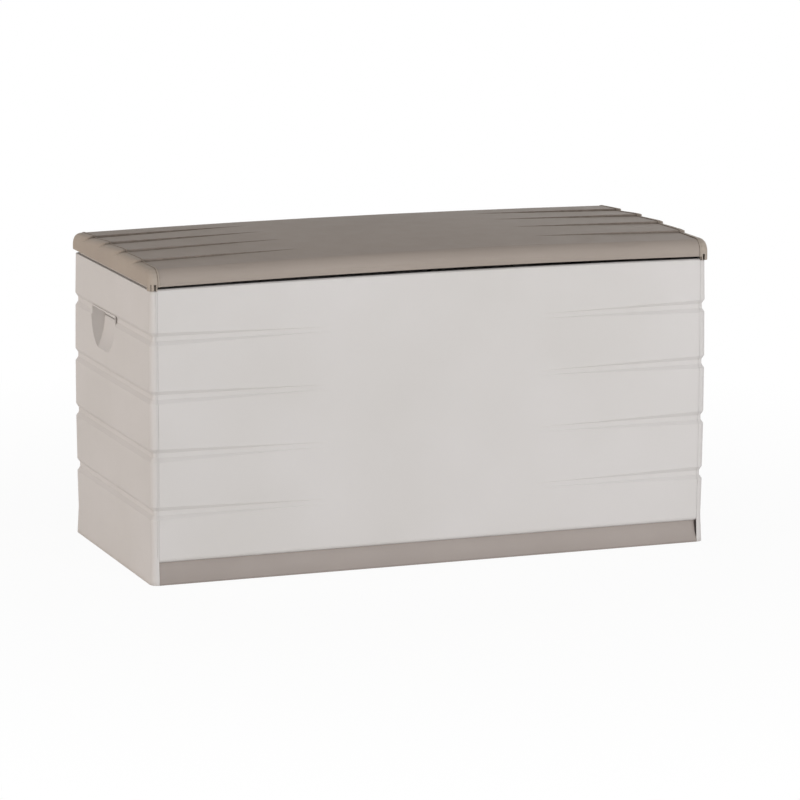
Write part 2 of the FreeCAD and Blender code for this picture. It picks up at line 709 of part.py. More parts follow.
def lidBlock(name, grow, bottom):
    # The crowned form of the lid: its outline turned about a far axis under the box.
    body = newBody(name)
    profile = outline(body, "Section", "YZ_Plane", archLine(grow, "lidCrown", bottom, grow != "0"))
    radius = "((%s^2 + lidCrown^2) / (2 * lidCrown))" % lidHalf
    level = "(%s + lidCrown - %s)" % (lidSeat, radius)
    number = profile.addGeometry(Part.LineSegment(point(0, amount(level)), point(50, amount(level))), True)
    profile.addConstraint(Sketcher.Constraint("Horizontal", number))
    profile.addConstraint(Sketcher.Constraint("PointOnObject", number, 1, -2))
    profile.addConstraint(Sketcher.Constraint("DistanceX", number, 1, number, 2, 50))
    drop = profile.addConstraint(Sketcher.Constraint("DistanceY", -1, 1, number, 1, amount(level)))
    profile.setExpression("Constraints[%d]" % drop, sized(level))
    turned = body.newObject("PartDesign::Revolution", "Crown")
    turned.Profile = profile
    turned.ReferenceAxis = (profile, ["Axis0"])
    turned.Midplane = True
    turned.setExpression("Angle", sized("crownTurn * %s / %s" % (lidHalf, radius)))
    doc.recompute()
    trim = block(name + "_trim", ("-1 * (%s - %s)" % (lidHalf, grow), "-1 * lidDepth", "bodyHeight / 2"),
                 ("%s - %s" % (lidHalf, grow), "lidDepth", "2 * bodyHeight"))
    return common(name + "_length", body, trim)


def lapCorners(index, grow, drop, lift, rise):
    # The space in front of one lap of the lid, above the next board's face.
    step = "((%s) * lapPitch)" % (index - (lapCount - 1) / 2)
    front = "(%s - (1 + lapRunOn) * lapRun)" % step
    top = "(%s + 2 * lidCrown)" % lidTop
    behind = "(%s + %s)" % (step, grow)
    return [(behind, "%s + %s - %s - %s" % (archHeight(step), rise, drop, grow)), (behind, top), (front, top),
            (front, "%s + %s + %s - %s" % (archHeight(front), rise, lift, grow))]


def laps(name, grow):
    # The laps of the lid panel, deepest at its ends and fading towards the middle.
    tools = []
    for side in (-1, 1):
        for index in range(lapCount):
            body = newBody("%s_%d_%d" % (name, side + 2, index + 1))
            deep = outline(body, "Deep", "YZ_Plane",
                           lapCorners(index, grow, "lapDepth", "lapRunOn * lapDepth", "0"),
                           offset="%d * (%s + overrun)" % (side, lidHalf))
            fade = "(%s - lapLength)" % lidHalf
            rise = "(lidCrown * (1 - (%s / %s)^2))" % (fade, lidHalf)
            tip = outline(body, "Tip", "YZ_Plane", lapCorners(index, grow, "-lapClear", "lapClear", rise),
                          offset="%d * %s" % (side, fade))
            tools.append(taper(body, "Lap", deep, tip))
    return fuse(name, tools)


def lidPanel(name):
    # The crowned lid between its end caps, with laps, ribs inside and the hinge ears.
    outer = cut(name + "_outer", lidBlock(name + "_form", "0", "%s + lidCrown" % lidSeat),
                laps(name + "_laps", "0"))
    hollow = cut(name + "_hollow", lidBlock(name + "_core", "wall", "bodyHeight - coreReach"),
                 laps(name + "_inner_laps", "wall"))
    under = "(%s - lidRibDepth)" % lidTop
    over = "(%s + lidCrown)" % lidTop
    half = "(lidDepth / 2)"
    inside = []
    for index in range(-3, 4):
        middle = "(%d * lidRibPitch)" % index
        inside.append(block("%s_cross_rib_%d" % (name, index + 4),
                            ("%s - lidRib / 2" % middle, "-1 * " + half, under),
                            ("%s + lidRib / 2" % middle, half, over)))
    for side in (-1, 1):
        middle = "(%d * lidRibY)" % side
        inside.append(block("%s_long_rib_%d" % (name, side + 2),
                            ("-1 * " + lidHalf, "%s - lidRib / 2" % middle, under),
                            (lidHalf, "%s + lidRib / 2" % middle, over)))
        for way in (-1, 1):
            near = "(%d * hingeX + %d * (knuckleLength / 2 + hingePlay))" % (side, way)
            far = "(%d * hingeX + %d * (knuckleLength / 2 + hingePlay + earThickness))" % (side, way)
            low, high = (near, far) if way > 0 else (far, near)
            ear = newBody("%s_ear_%d_%d" % (name, side + 2, way + 2))
            front = "(%s - knuckleRadius)" % hingeY
            rear = "(%s + knuckleRadius)" % hingeY
            shape = outline(ear, "Section", "YZ_Plane",
                            [(front, hingeZ, "knuckleRadius + earEase"), (rear, hingeZ), (rear, over), (front, over)],
                            offset=low)
            pad(ear, "Ear", shape, "earThickness")
            inside.append(ear)
    stiffening = common(name + "_inside", hollow, fuse(name + "_ribs", inside))
    holes = []
    for side in (-1, 1):
        reach = "(knuckleLength / 2 + hingePlay)"
        holes.append(block("%s_notch_%d" % (name, side + 2),
                           ("%d * hingeX - %s" % (side, reach), hingeY, "bodyHeight"),
                           ("%d * hingeX + %s" % (side, reach), "%s + 2 * overrun" % half,
                            "%s + knuckleRadius + notchRise" % hingeZ)))
        holes.append(rod("%s_bore_%d" % (name, side + 2),
                         ("%d * hingeX - %s - 2 * earThickness" % (side, reach), hingeY, hingeZ), "x",
                         "pinRadius + pinClearance", "2 * %s + 4 * earThickness" % reach))
        for index in range(capScrews):
            holes.append(rod("%s_end_hole_%d_%d" % (name, side + 2, index + 1),
                             ("%d * (%s - wall - 2 * overrun)" % (side, lidHalf),
                              "(%d * capScrewPitch)" % (index - (capScrews - 1) // 2), "capScrewHeight"),
                             "x" if side > 0 else "-x", "screwShank + screwEase", "wall + 4 * overrun", holeSides))
    skin = cut(name + "_skin", outer, hollow)
    return cut(name, fuse(name + "_solid", [skin, stiffening]), fuse(name + "_holes", holes))


def capLine(grow, shift, bottom):
    # A cap's outline from front to back with its laps, grow inside its outer faces.
    turn = "(lidDepth / 2 - lidRound)"
    drop = "sqrt((lidArch - lidRound)^2 - %s^2)" % turn
    centre = "(%s - lidArch)" % lidTop
    share = "((lidArch - (%s)) / (lidArch - lidRound))" % grow
    rounding = "(lidRound - (%s))" % grow
    bends = [math.radians(archLean * step / roundRuns) for step in range(roundRuns)]
    corner = [("(lidDepth / 2 - (%s))" % grow, bottom)]
    corner += [("(%s + %s * %.6f)" % (turn, rounding, math.cos(bend)),
                "(%s + %s + %s * %.6f)" % (centre, drop, rounding, math.sin(bend))) for bend in bends]
    corner.append(("(%s * %s)" % (share, turn), "(%s + %s * %s)" % (centre, share, drop)))
    line = [("-1 * " + across, height) for across, height in corner]
    for index in range(lapCount):
        step = "((%s) * lapPitch + %s)" % (index - (lapCount - 1) / 2, shift)
        arch = "(%s + sqrt((lidArch - (%s))^2 - (%s)^2))" % (centre, grow, "%s")
        if index:
            joint = "(%s - lapRun)" % step
            line.append((joint, arch % joint))
        line += [(step, arch % step + " - lapDepth"), (step, arch % step)]
    return line + corner[::-1]


def capForm(name, side, rings):
    # A form through cap outlines, each at its distance from the middle and with its inset.
    body = newBody(name)
    sketches = [outline(body, "Section%d" % (index + 1), "YZ_Plane", capLine(grow, shift, bottom),
                        offset="%d * (%s)" % (side, place))
                for index, (place, grow, shift, bottom) in enumerate(rings)]
    return taper(body, "Form", *sketches)


def lidCap(side, name):
    # A lid cap: a hollow rounded shoulder with its laps, raised bead and front toe.
    inner = "(%s + seatGap)" % lidHalf
    end = "(lidLength / 2)"
    low = "(bodyHeight + seatGap)"
    turns = [math.radians(90 * step / shoulderRuns) for step in range(shoulderRuns + 1)]
    outer = capForm(name + "_form", side, [(inner, "0", "0", low)] + [
        ("%s - capRound * %.6f" % (end, 1 - math.sin(turn)), "capRound * %.6f" % (1 - math.cos(turn)),
         "lapSweep * %.6f" % (1 - math.cos(turn)), low)
        for turn in turns])
    hollow = capForm(name + "_core", side, [
        ("%s + wall" % inner, "wall", "wall", "bodyHeight - wall"),
        ("%s - wall - capInnerEase" % end, "wall", "wall", "bodyHeight - wall"),
        ("%s - wall" % end, "wall + capInnerEase", "wall", "bodyHeight - wall")])
    bead = capForm(name + "_bead", side, [(inner, "-beadHeight", "-beadHeight", low),
                                          ("%s + beadWidth" % inner, "-beadHeight", "-beadHeight", low)])
    shapes = [cut(name + "_skin", fuse(name + "_outside", [outer, bead]), hollow)]
    toeEnd = "-1 * (lidDepth / 2 - toeDepth)"
    shapes.append(block(name + "_toe_back", *sidewise(side, "%s + wall / 2" % inner, "%s - wall / 2" % end,
                                                      "%s - wall" % toeEnd, toeEnd, low,
                                                      "bodyHeight + slotHeight + wall")))
    span = ("%s - overrun" % inner, "%s + overrun" % end)
    xs = span if side > 0 else ("-1 * (%s)" % span[1], "-1 * (%s)" % span[0])
    holes = [block(name + "_seat", (xs[0], toeEnd, "bodyHeight - capReach"), (xs[1], "lidDepth", lidSeat)),
             block(name + "_toe_side", *sidewise(side, span[0], "(%s + toeEase)" % seam,
                                                 "-1 * lidDepth", toeEnd, "bodyHeight - capReach", lidSeat)),
             block(name + "_toe_face", (xs[0], "-1 * lidDepth", "bodyHeight - capReach"),
                   (xs[1], "lidDepth", "bodyHeight + seatGap"))]
    for index in range(2):
        near = "(%s - wall / 2 - slotWidth - %d * 2 * slotWidth)" % (end, index)
        far = "(%s + slotWidth)" % near
        low, high = (near, far) if side > 0 else ("-1 * " + far, "-1 * " + near)
        holes.append(block("%s_slot_%d" % (name, index + 1),
                           (low, "-1 * lidDepth", "bodyHeight - capReach"),
                           (high, "-1 * (lidDepth / 2 - wall - 2 * overrun)", "bodyHeight + slotHeight")))
    for index in range(capScrews):
        place = "(%d * capScrewPitch)" % (index - (capScrews - 1) // 2)
        shapes.append(rod("%s_boss_%d" % (name, index + 1),
                          ("%d * (%s + wall / 2)" % (side, inner), place, "capScrewHeight"),
                          "x" if side > 0 else "-x", "bossRadius", "screwLength - wall", headSides))
        holes.append(rod("%s_pilot_%d" % (name, index + 1),
                         ("%d * (%s - overrun)" % (side, inner), place, "capScrewHeight"),
                         "x" if side > 0 else "-x", "screwShank + pinClearance", "screwLength - wall + overrun",
                         holeSides))
    return cut(name, fuse(name + "_solid", shapes), fuse(name + "_holes", holes))


def hingeBracket(side, name):
    # The knuckle on its gooseneck, carried by a plate inside the back panel.
    middle = "(%d * hingeX)" % side
    front = "(%s - seatGap - bracketPlate)" % panelBack
    back = "(%s - seatGap)" % panelBack
    neck = "(%s - knuckleRadius)" % hingeZ
    shapes = [block(name + "_plate", ("%s - bracketWidth / 2" % middle, front, "bodyHeight - bracketDrop"),
                    ("%s + bracketWidth / 2" % middle, back, "bodyHeight - seatGap")),
              block(name + "_riser", ("%s - knuckleLength / 2" % middle, front, "bodyHeight - overrun"),
                    ("%s + knuckleLength / 2" % middle, back, "%s + bracketPlate / 2" % neck)),
              block(name + "_web", ("%s - knuckleLength / 2" % middle, front, "%s - bracketPlate / 2" % neck),
                    ("%s + knuckleLength / 2" % middle, hingeY, "%s + bracketPlate / 2" % neck)),
              rod(name + "_knuckle", ("%s - knuckleLength / 2" % middle, hingeY, hingeZ), "x",
                  "knuckleRadius", "knuckleLength")]
    holes = [rod(name + "_bore", ("%s - knuckleLength" % middle, hingeY, hingeZ), "x",
                 "pinRadius + pinClearance", "2 * knuckleLength")]
    for way in (-1, 1):
        holes.append(rod("%s_hole_%d" % (name, way + 2),
                         ("%s + %d * %s" % (middle, way, bracketScrewX), "%s - overrun" % front, bracketScrewZ),
                         "y", "screwShank + screwEase", "bracketPlate + 2 * overrun", holeSides))
    return cut(name, fuse(name + "_solid", shapes), fuse(name + "_holes", holes))


def hingePin(side, name):
    reach = "(knuckleLength / 2 + hingePlay + earThickness + seatGap)"
    start = "(%d * hingeX - %s)" % (side, reach)
    shank = rod(name + "_shank", (start, hingeY, hingeZ), "x", "pinRadius", "2 * %s + pinTail" % reach)
    head = rod(name + "_head", ("%s - pinHeadHeight" % start, hingeY, hingeZ), "x", "pinHead",
               "pinHeadHeight")
    return fuse(name, [shank, head])


def screw(name, start, axis, grip):
    # A hex-headed screw: start is where its head meets the piece, and grip is its reach beyond.
    back = axis[1:] if axis.startswith("-") else "-" + axis
    head = rod(name + "_head", start, back, "screwHead", "screwHeadHeight", headSides)
    shank = rod(name + "_shank", start, axis, "screwShank", grip, holeSides)
    return fuse(name, [head, shank])


def screws(name, places, axis):
    return group(name, [screw("%s_%d" % (name, index + 1), place, axis, "screwLength")
                        for index, place in enumerate(places)])


def seamScrews(side, face, name):
    # The screws of one upright seam, from inside the chest into the front or back panel.
    across = "%d * (%s - seatGap - wall)" % (face, panelBack)
    return screws(name, [("%d * %s" % (side, seamScrewX), across, seamScrewHeight(index))
                         for index in range(screwsPerSeam)], "y" if face > 0 else "-y")


pieces = [basePanel("base_panel"),
          wallPanel("front_panel", "(bodyHeight + panelRaise)", True, False),
          wallPanel("back_panel", "bodyHeight", False, True),
          lidPanel("lid_panel")]
pieces[2].Placement = FreeCAD.Placement(point(0, 0), FreeCAD.Rotation(point(0, 0, 1), 180))
for side, hand in ((-1, "left"), (1, "right")):
    pieces.append(sidePanel(side, hand + "_side_panel"))
    pieces.append(lidCap(side, hand + "_lid_cap"))
    pieces.append(hingeBracket(side, hand + "_hinge_bracket"))
    pieces.append(hingePin(side, hand + "_hinge_pin"))
    pieces.append(screws(hand + "_hinge_screws", [
        ("%d * hingeX + %d * %s" % (side, way, bracketScrewX), "%s - seatGap - bracketPlate" % panelBack,
         bracketScrewZ) for way in (-1, 1)], "y"))
    pieces.append(screws(hand + "_cap_screws", [
        ("%d * (%s - wall)" % (side, lidHalf), "%d * capScrewPitch" % (index - (capScrews - 1) // 2),
         "capScrewHeight") for index in range(capScrews)], "x" if side > 0 else "-x"))
    pieces.append(screws(hand + "_base_screws", [
        ("%d * %s" % (side, tabScrewX), "%d * tabPitch" % (index - (tabsPerSide - 1) // 2),
         "(baseHeight + seatGap + wall)") for index in range(tabsPerSide)], "-z"))
    pieces.append(seamScrews(side, -1, "front_%s_corner_screws" % hand))
    pieces.append(seamScrews(side, 1, "rear_%s_corner_screws" % hand))
doc.recompute()

faults = [item.Name + " " + " ".join(item.State) for item in doc.Objects
          if "Invalid" in item.State or "Error" in item.State]
faults += [piece.Label for piece in pieces if piece.Shape.isNull() or not piece.Shape.isValid()]
if faults:
    raise RuntimeError("These objects failed: " + ", ".join(faults))

os.makedirs("parts", exist_ok=True)
for piece in pieces:
    piece.Shape.exportStep("parts/%s.step" % piece.Label)
    print(piece.Label, len(piece.Shape.Solids), round(piece.Shape.Volume))
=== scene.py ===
import math

import bpy
import bmesh
from mathutils import Matrix, Vector


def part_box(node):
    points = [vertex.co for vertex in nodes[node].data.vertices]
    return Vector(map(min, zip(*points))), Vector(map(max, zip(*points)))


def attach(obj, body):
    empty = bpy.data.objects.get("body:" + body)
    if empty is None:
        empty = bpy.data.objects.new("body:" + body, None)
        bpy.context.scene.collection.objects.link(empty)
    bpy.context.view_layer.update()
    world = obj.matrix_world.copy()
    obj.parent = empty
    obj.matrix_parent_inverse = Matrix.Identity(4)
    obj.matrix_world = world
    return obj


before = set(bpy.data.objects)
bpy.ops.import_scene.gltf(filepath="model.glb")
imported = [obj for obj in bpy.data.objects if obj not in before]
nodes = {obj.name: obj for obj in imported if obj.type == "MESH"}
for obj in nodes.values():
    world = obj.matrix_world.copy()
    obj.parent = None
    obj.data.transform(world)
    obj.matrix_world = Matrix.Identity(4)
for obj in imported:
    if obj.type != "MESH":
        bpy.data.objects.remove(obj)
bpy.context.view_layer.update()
print("loaded the box's frame with", len(nodes), "nodes")

# a screen's colour curve: a straight foot up to the knee, and a power of the lifted value above it
screenCurve = {"knee": 0.04045, "foot": 12.92, "lift": 0.055, "power": 2.4}


def linear(hexColour):
    # a written screen colour turned into the renderer's linear one
    curve = screenCurve
    steps = [int(hexColour[at:at + 2], 16) / 255 for at in (0, 2, 4)]
    parts = [step / curve["foot"] if step <= curve["knee"]
             else ((step + curve["lift"]) / (1 + curve["lift"])) ** curve["power"] for step in steps]
    return parts + [1.0]


def scaled(colour, factor):
    # a linear colour made darker or paler, never over white
    return [min(1.0, part * factor) for part in colour[:3]] + [1.0]


def emptyMaterial(name):
    mat = bpy.data.materials.new(name)
    mat.use_nodes = True
    mat.node_tree.nodes.clear()
    return mat


def wire(tree, kind, at, **settings):
    # a shader node at its place in the editor, with its settings and its plain socket values
    node = tree.nodes.new(kind)
    node.location = at
    for key, value in settings.items():
        if key in node.inputs:
            node.inputs[key].default_value = value
        else:
            setattr(node, key, value)
    return node


def feed(tree, source, target, socket, output=0):
    tree.links.new(source.outputs[output], target.inputs[socket])


def rampTo(tree, at, source, span, ends=(0.0, 1.0), output=0):
    # a straight ramp that turns the source's span of numbers into the two ends
    ramp = wire(tree, "ShaderNodeMapRange", at)
    for socket, value in zip(("From Min", "From Max", "To Min", "To Max"), (*span, *ends)):
        ramp.inputs[socket].default_value = value
    feed(tree, source, ramp, "Value", output)
    return ramp


def product(tree, at, first, second, output=0):
    # output is the socket that the first node gives
    times = wire(tree, "ShaderNodeMath", at, operation="MULTIPLY")
    feed(tree, first, times, 0, output)
    feed(tree, second, times, 1)
    return times


def blendColour(tree, at, factor, first, second):
    # first and second are each an earlier blend or a plain colour
    mix = wire(tree, "ShaderNodeMix", at, data_type="RGBA")
    feed(tree, factor, mix, "Factor")
    for socket, value in (("A", first), ("B", second)):
        if isinstance(value, list):
            mix.inputs[socket].default_value = value
        else:
            feed(tree, value, mix, socket, "Result")
    return mix


# the moulded resins: rough and gloss are the surface's own, grainDepth is the grain's height and edge the
# worn rim's radius in metres; speck and rubbed are the shares of pigment and wear, and the last share is the
# painted shade in grooves and seams, tinted, like the pigment specks, by the third colour
resins = {
    "wallResin": {
        "colour": "CECBCA", "shade": "CAC7C5", "speckAndShade": "8E8177", "rough": 0.60, "gloss": 0.30,
        "grainDepth": 0.00010, "speck": 0.035, "edge": 0.0011, "rubbed": 0.45, "shadeShare": 0.30,
    },
    "baseResin": {
        "colour": "A09792", "shade": "9B928D", "speckAndShade": "655B53", "rough": 0.58, "gloss": 0.30,
        "grainDepth": 0.00010, "speck": 0.05, "edge": 0.0010, "rubbed": 0.40, "shadeShare": 0.35,
    },
    "lidResin": {
        "colour": "A0968E", "shade": "9B9189", "speckAndShade": "5F554C", "rough": 0.68, "gloss": 0.20,
        "grainDepth": 0.00014, "speck": 0.06, "edge": 0.0012, "rubbed": 0.35, "shadeShare": 0.95,
    },
    "capResin": {
        "colour": "A99E93", "shade": "A3988E", "speckAndShade": "5F554C", "rough": 0.64, "gloss": 0.22,
        "grainDepth": 0.00012, "speck": 0.05, "edge": 0.0014, "rubbed": 0.35, "shadeShare": 0.95,
    },
    "hingeResin": {
        "colour": "6B635B", "shade": "655D55", "speckAndShade": "3F3934", "rough": 0.50, "gloss": 0.35,
        "grainDepth": 0.00006, "speck": 0.05, "edge": 0.0006, "rubbed": 0.40, "shadeShare": 0.35,
    },
}

# the noises in every resin, each with its scale, detail and roughness
resinNoises = {
    "drift": (3.2, 2.0, 0.5),
    "speck": (900.0, 1.0, 0.6),
    "polish": (26.0, 4.0, 0.6),
    "grain": (1600.0, 2.0, 0.7),
    "patches": (60.0, 6.0, 0.7),
}

# what else the resins share: a span is the part of a noise, a turned rim or a nook that shows
moulding = {
    "refraction": 1.49,
    "driftSpan": (0.35, 0.65),
    "speckSpan": (0.3, 0.7),
    "patchSpan": (0.38, 0.62),
    "polishSpan": (0.3, 0.7),
    "polishSwing": 0.05,
    "rimSpan": (0.995, 0.90),
    "rimRays": 6,
    "wornPaler": 1.22,
    # the nook numbers and the ends after them set the painted shade in grooves, seams and lap steps
    "nookSpan": (0.92, 0.55),
    "nookReach": 0.012,
    "nookRays": 8,
    "shadeEnds": (0.7, 1.0),
    "grainStrength": 0.45,
}


def mouldedResin(name, look, mould):
    mat = emptyMaterial(name)
    tree = mat.node_tree
    out = wire(tree, "ShaderNodeOutputMaterial", (1300, 0))
    skin = wire(tree, "ShaderNodeBsdfPrincipled", (1000, 0), IOR=mould["refraction"])
    skin.inputs["Specular IOR Level"].default_value = look["gloss"]
    feed(tree, skin, out, 0)
    place = wire(tree, "ShaderNodeTexCoord", (-1400, 0))
    noises = {}
    for at, (key, (scale, detail, roughness)) in enumerate(resinNoises.items()):
        noises[key] = wire(tree, "ShaderNodeTexNoise", (-1100, 500 - 260 * at), Scale=scale, Detail=detail,
                           Roughness=roughness)
        feed(tree, place, noises[key], "Vector", "Object")
    # the melt's slow drift of tone, and the specks of its pigment
    drift = rampTo(tree, (-800, 500), noises["drift"], mould["driftSpan"])
    tone = blendColour(tree, (-500, 500), drift, linear(look["shade"]), linear(look["colour"]))
    speck = rampTo(tree, (-800, 240), noises["speck"], mould["speckSpan"], (0.0, look["speck"]))
    flecked = blendColour(tree, (-200, 400), speck, tone, linear(look["speckAndShade"]))
    # rims that hands and lid rub paler, found where a small rounding would turn the surface
    rim = wire(tree, "ShaderNodeBevel", (-1100, -900), samples=mould["rimRays"], Radius=look["edge"])
    plain = wire(tree, "ShaderNodeNewGeometry", (-1100, -1100))
    turn = wire(tree, "ShaderNodeVectorMath", (-800, -950), operation="DOT_PRODUCT")
    feed(tree, rim, turn, 0)
    feed(tree, plain, turn, 1, "Normal")
    worn = rampTo(tree, (-500, -950), turn, mould["rimSpan"], (0.0, look["rubbed"]), "Value")
    patchy = rampTo(tree, (-500, -700), noises["patches"], mould["patchSpan"])
    broken = product(tree, (-200, -900), worn, patchy)
    paler = scaled(linear(look["colour"]), mould["wornPaler"])
    rubbed = blendColour(tree, (100, 400), broken, flecked, paler)
    # painted shade: the colour darkens toward the third colour where ambient occlusion finds grooves, seams
    # and lap steps, broken up by a slow noise
    nook = wire(tree, "ShaderNodeAmbientOcclusion", (-1100, -1300), samples=mould["nookRays"],
                Distance=mould["nookReach"])
    shadeRamp = rampTo(tree, (-800, -1300), nook, mould["nookSpan"], (0.0, look["shadeShare"]), "AO")
    uneven = rampTo(tree, (-500, -1300), noises["patches"], mould["patchSpan"], mould["shadeEnds"])
    nookShade = product(tree, (-200, -1200), shadeRamp, uneven)
    shadedTone = blendColour(tree, (400, 400), nookShade, rubbed, linear(look["speckAndShade"]))
    feed(tree, shadedTone, skin, "Base Color", "Result")
    # satin sheen that follows the mould's polish
    low, high = look["rough"] - mould["polishSwing"], look["rough"] + mould["polishSwing"]
    gloss = rampTo(tree, (-500, 0), noises["polish"], mould["polishSpan"], (low, high))
    feed(tree, gloss, skin, "Roughness")
    fine = wire(tree, "ShaderNodeBump", (400, -650), Strength=mould["grainStrength"],
                Distance=look["grainDepth"])
    feed(tree, noises["grain"], fine, "Height")
    feed(tree, rim, fine, "Normal")
    feed(tree, fine, skin, "Normal")
    return mat


# the steel of pins and screws: scratch is how fine its drawn lines are
steels = {
    "pinSteel": {"colour": "B9B8B4", "rough": 0.28, "scratch": 260.0},
    "screwSteel": {"colour": "C4C3BD", "rough": 0.34, "scratch": 420.0},
}

# what both steels share: the lines are stretched along X, and lineDepth is their depth in metres
drawing = {
    "stretch": (0.08, 1.0, 1.0),
    "detail": 6.0,
    "broken": 0.7,
    "darker": 0.72,
    "smoother": 0.08,
    "rougher": 0.14,
    "lineStrength": 0.3,
    "lineDepth": 0.00005,
}


def drawnSteel(name, look, drawn):
    mat = emptyMaterial(name)
    tree = mat.node_tree
    out = wire(tree, "ShaderNodeOutputMaterial", (700, 0))
    skin = wire(tree, "ShaderNodeBsdfPrincipled", (400, 0), Metallic=1.0)
    feed(tree, skin, out, 0)
    place = wire(tree, "ShaderNodeTexCoord", (-900, 0))
    streak = wire(tree, "ShaderNodeMapping", (-700, 0), Scale=drawn["stretch"])
    lines = wire(tree, "ShaderNodeTexNoise", (-500, 0), Scale=look["scratch"], Detail=drawn["detail"],
                 Roughness=drawn["broken"])
    feed(tree, place, streak, "Vector", "Object")
    feed(tree, streak, lines, "Vector")
    colour = linear(look["colour"])
    tone = blendColour(tree, (0, 200), lines, scaled(colour, drawn["darker"]), colour)
    feed(tree, tone, skin, "Base Color", "Result")
    low, high = look["rough"] - drawn["smoother"], look["rough"] + drawn["rougher"]
    gloss = rampTo(tree, (0, -100), lines, (0.0, 1.0), (low, high))
    feed(tree, gloss, skin, "Roughness")
    bump = wire(tree, "ShaderNodeBump", (100, -350), Strength=drawn["lineStrength"],
                Distance=drawn["lineDepth"])
    feed(tree, lines, bump, "Height")
    feed(tree, bump, skin, "Normal")
    return mat


finishes = {name: mouldedResin(name, look, moulding) for name, look in resins.items()}
finishes.update({name: drawnSteel(name, look, drawing) for name, look in steels.items()})
print("mixed", len(finishes), "finishes")

# the finish that each node wears, by the end of its name: the first ending that fits counts
wears = {
    "_screws": "screwSteel",
    "_pin": "pinSteel",
    "_bracket": "hingeResin",
    "_cap": "capResin",
    "lid_panel": "lidResin",
    "base_panel": "baseResin",
    "_panel": "wallResin",
}

for node, piece in nodes.items():
    worn = next(finish for ending, finish in wears.items() if node.endswith(ending))
    piece.data.materials.clear()
    piece.data.materials.append(finishes[worn])
print("dressed the moulded panels and the fasteners")


def closedSheet(name, outer, inner, material, body):
    # a thin solid between two equal grids of points, closed round its rim
    rows, columns = len(outer), len(outer[0])
    points = [spot for grid in (outer, inner) for row in grid for spot in row]
    back = rows * columns
    faces = []
    for row in range(rows - 1):
        for column in range(columns - 1):
            corner = row * columns + column
            ring = (corner, corner + 1, corner + columns + 1, corner + columns)
            faces.append(ring)
            faces.append(tuple(back + spot for spot in reversed(ring)))
    rim = (list(range(columns))
           + [row * columns + columns - 1 for row in range(1, rows)]
           + [(rows - 1) * columns + column for column in range(columns - 2, -1, -1)]
           + [row * columns for row in range(rows - 2, 0, -1)])
    for first, second in zip(rim, rim[1:] + rim[:1]):
        faces.append((second, first, back + first, back + second))
    mesh = bpy.data.meshes.new(name)
    mesh.from_pydata(points, [], faces)
    shape = bmesh.new()
    shape.from_mesh(mesh)
    bmesh.ops.recalc_face_normals(shape, faces=shape.faces)
    shape.to_mesh(mesh)
    shape.free()
    for face in mesh.polygons:
        face.use_smooth = True
    piece = bpy.data.objects.new(name, mesh)
    bpy.context.scene.collection.objects.link(piece)
    mesh.materials.append(material)
    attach(piece, body)


# the walls that close the hand grips at their deepest, in metres: depth is measured from the panel's end,
# and reach to each side of the middle
gripBacks = {
    "depth": 0.0262,
    "wall": 0.0028,
    "middle": 0.058,
    "reach": 0.071,
    "low": 0.4795,
    "high": 0.5005,
    "steps": 12,
}


def gripBack(name, side, look):
    outer, inner = [], []
    steps = look["steps"]
    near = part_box("left_side_panel")[0][0] + look["depth"]
    far = near + look["wall"]
    for row in range(steps + 1):
        height = look["low"] + (look["high"] - look["low"]) * row / steps
        line = [look["middle"] + look["reach"] * (2 * column / steps - 1) for column in range(steps + 1)]
        outer.append([(-side * near, along, height) for along in line])
        inner.append([(-side * far, along, height) for along in line])
    closedSheet(name, outer, inner, finishes["wallResin"], "chest")


for name, side in (("left_grip_back", -1), ("right_grip_back", 1)):
    gripBack(name, side, gripBacks)
print("closed the hand grips")


# the skin that carries the lid's front rounding past the foot of its laps, in metres and degrees: middle and
# height place the rounding's axis, and the skin sinks into the lid over the fades, shares of its own spans
frontRolls = {
    "end": 0.275,
    "round": 0.026,
    "middle": -0.244,
    "height": 0.61316,
    "crown": 0.006,
    "lowTurn": -6.0,
    "highTurn": 84.0,
    "proud": 0.00012,
    "sunk": 0.0006,
    "thick": 0.0010,
    "fade": 0.16,
    "endFade": 0.06,
    "steps": 28,
    "runs": 72,
}


def ease(share):
    # a soft start and a soft end
    return share * share * (3 - 2 * share)


def frontRoll(name, look):
    low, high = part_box("lid_panel")
    # the lid's crown is an arc along X, so the rounding is leant about that arc's axis far below
    swing = (high[0] ** 2 + look["crown"] ** 2) / (2 * look["crown"])
    axis = low[2] + look["crown"] - swing
    outer, inner = [], []
    for row in range(look["runs"] + 1):
        share = row / look["runs"]
        along = look["end"] * (2 * share - 1)
        outer.append([])
        inner.append([])
        for column in range(look["steps"] + 1):
            part = column / look["steps"]
            turned = math.radians(look["lowTurn"] + (look["highTurn"] - look["lowTurn"]) * part)
            rim = ease(min(1.0, min(share, 1 - share) / look["endFade"], min(part, 1 - part) / look["fade"]))
            lift = look["proud"] * rim - look["sunk"] * (1 - rim)
            for grid, extra in ((outer, lift), (inner, lift - look["thick"])):
                reach = look["round"] + extra
                # below the axis the rounding runs on as a straight wall
                y = look["middle"] - (reach * math.cos(turned) if turned >= 0 else reach)
                z = look["height"] + reach * math.sin(turned)
                lean = math.asin(along / (z - axis))
                grid[-1].append((along, y, axis + (z - axis) * math.cos(lean)))
    closedSheet(name, outer, inner, finishes["lidResin"], "lid")


frontRoll("lid_front_roll", frontRolls)
print("carried the lid's front rounding through")


# the studio, in metres: the floor shines white to the camera from glowEnd on, and nearer it is a little
# darker and keeps the box's shadow
studio = {
    "floorSize": 60.0,
    "floorColour": "F7F7F6",
    "nearGlow": 0.94,
    "farGlow": 1.0,
    "glowStart": 0.7,
    "glowEnd": 2.0,
    "white": 1.0,
    "ambient": 0.27,
    "ambientTint": (1.0, 0.98, 0.957, 1.0),
    "whiteTint": (1.0, 1.0, 1.0, 1.0),
}

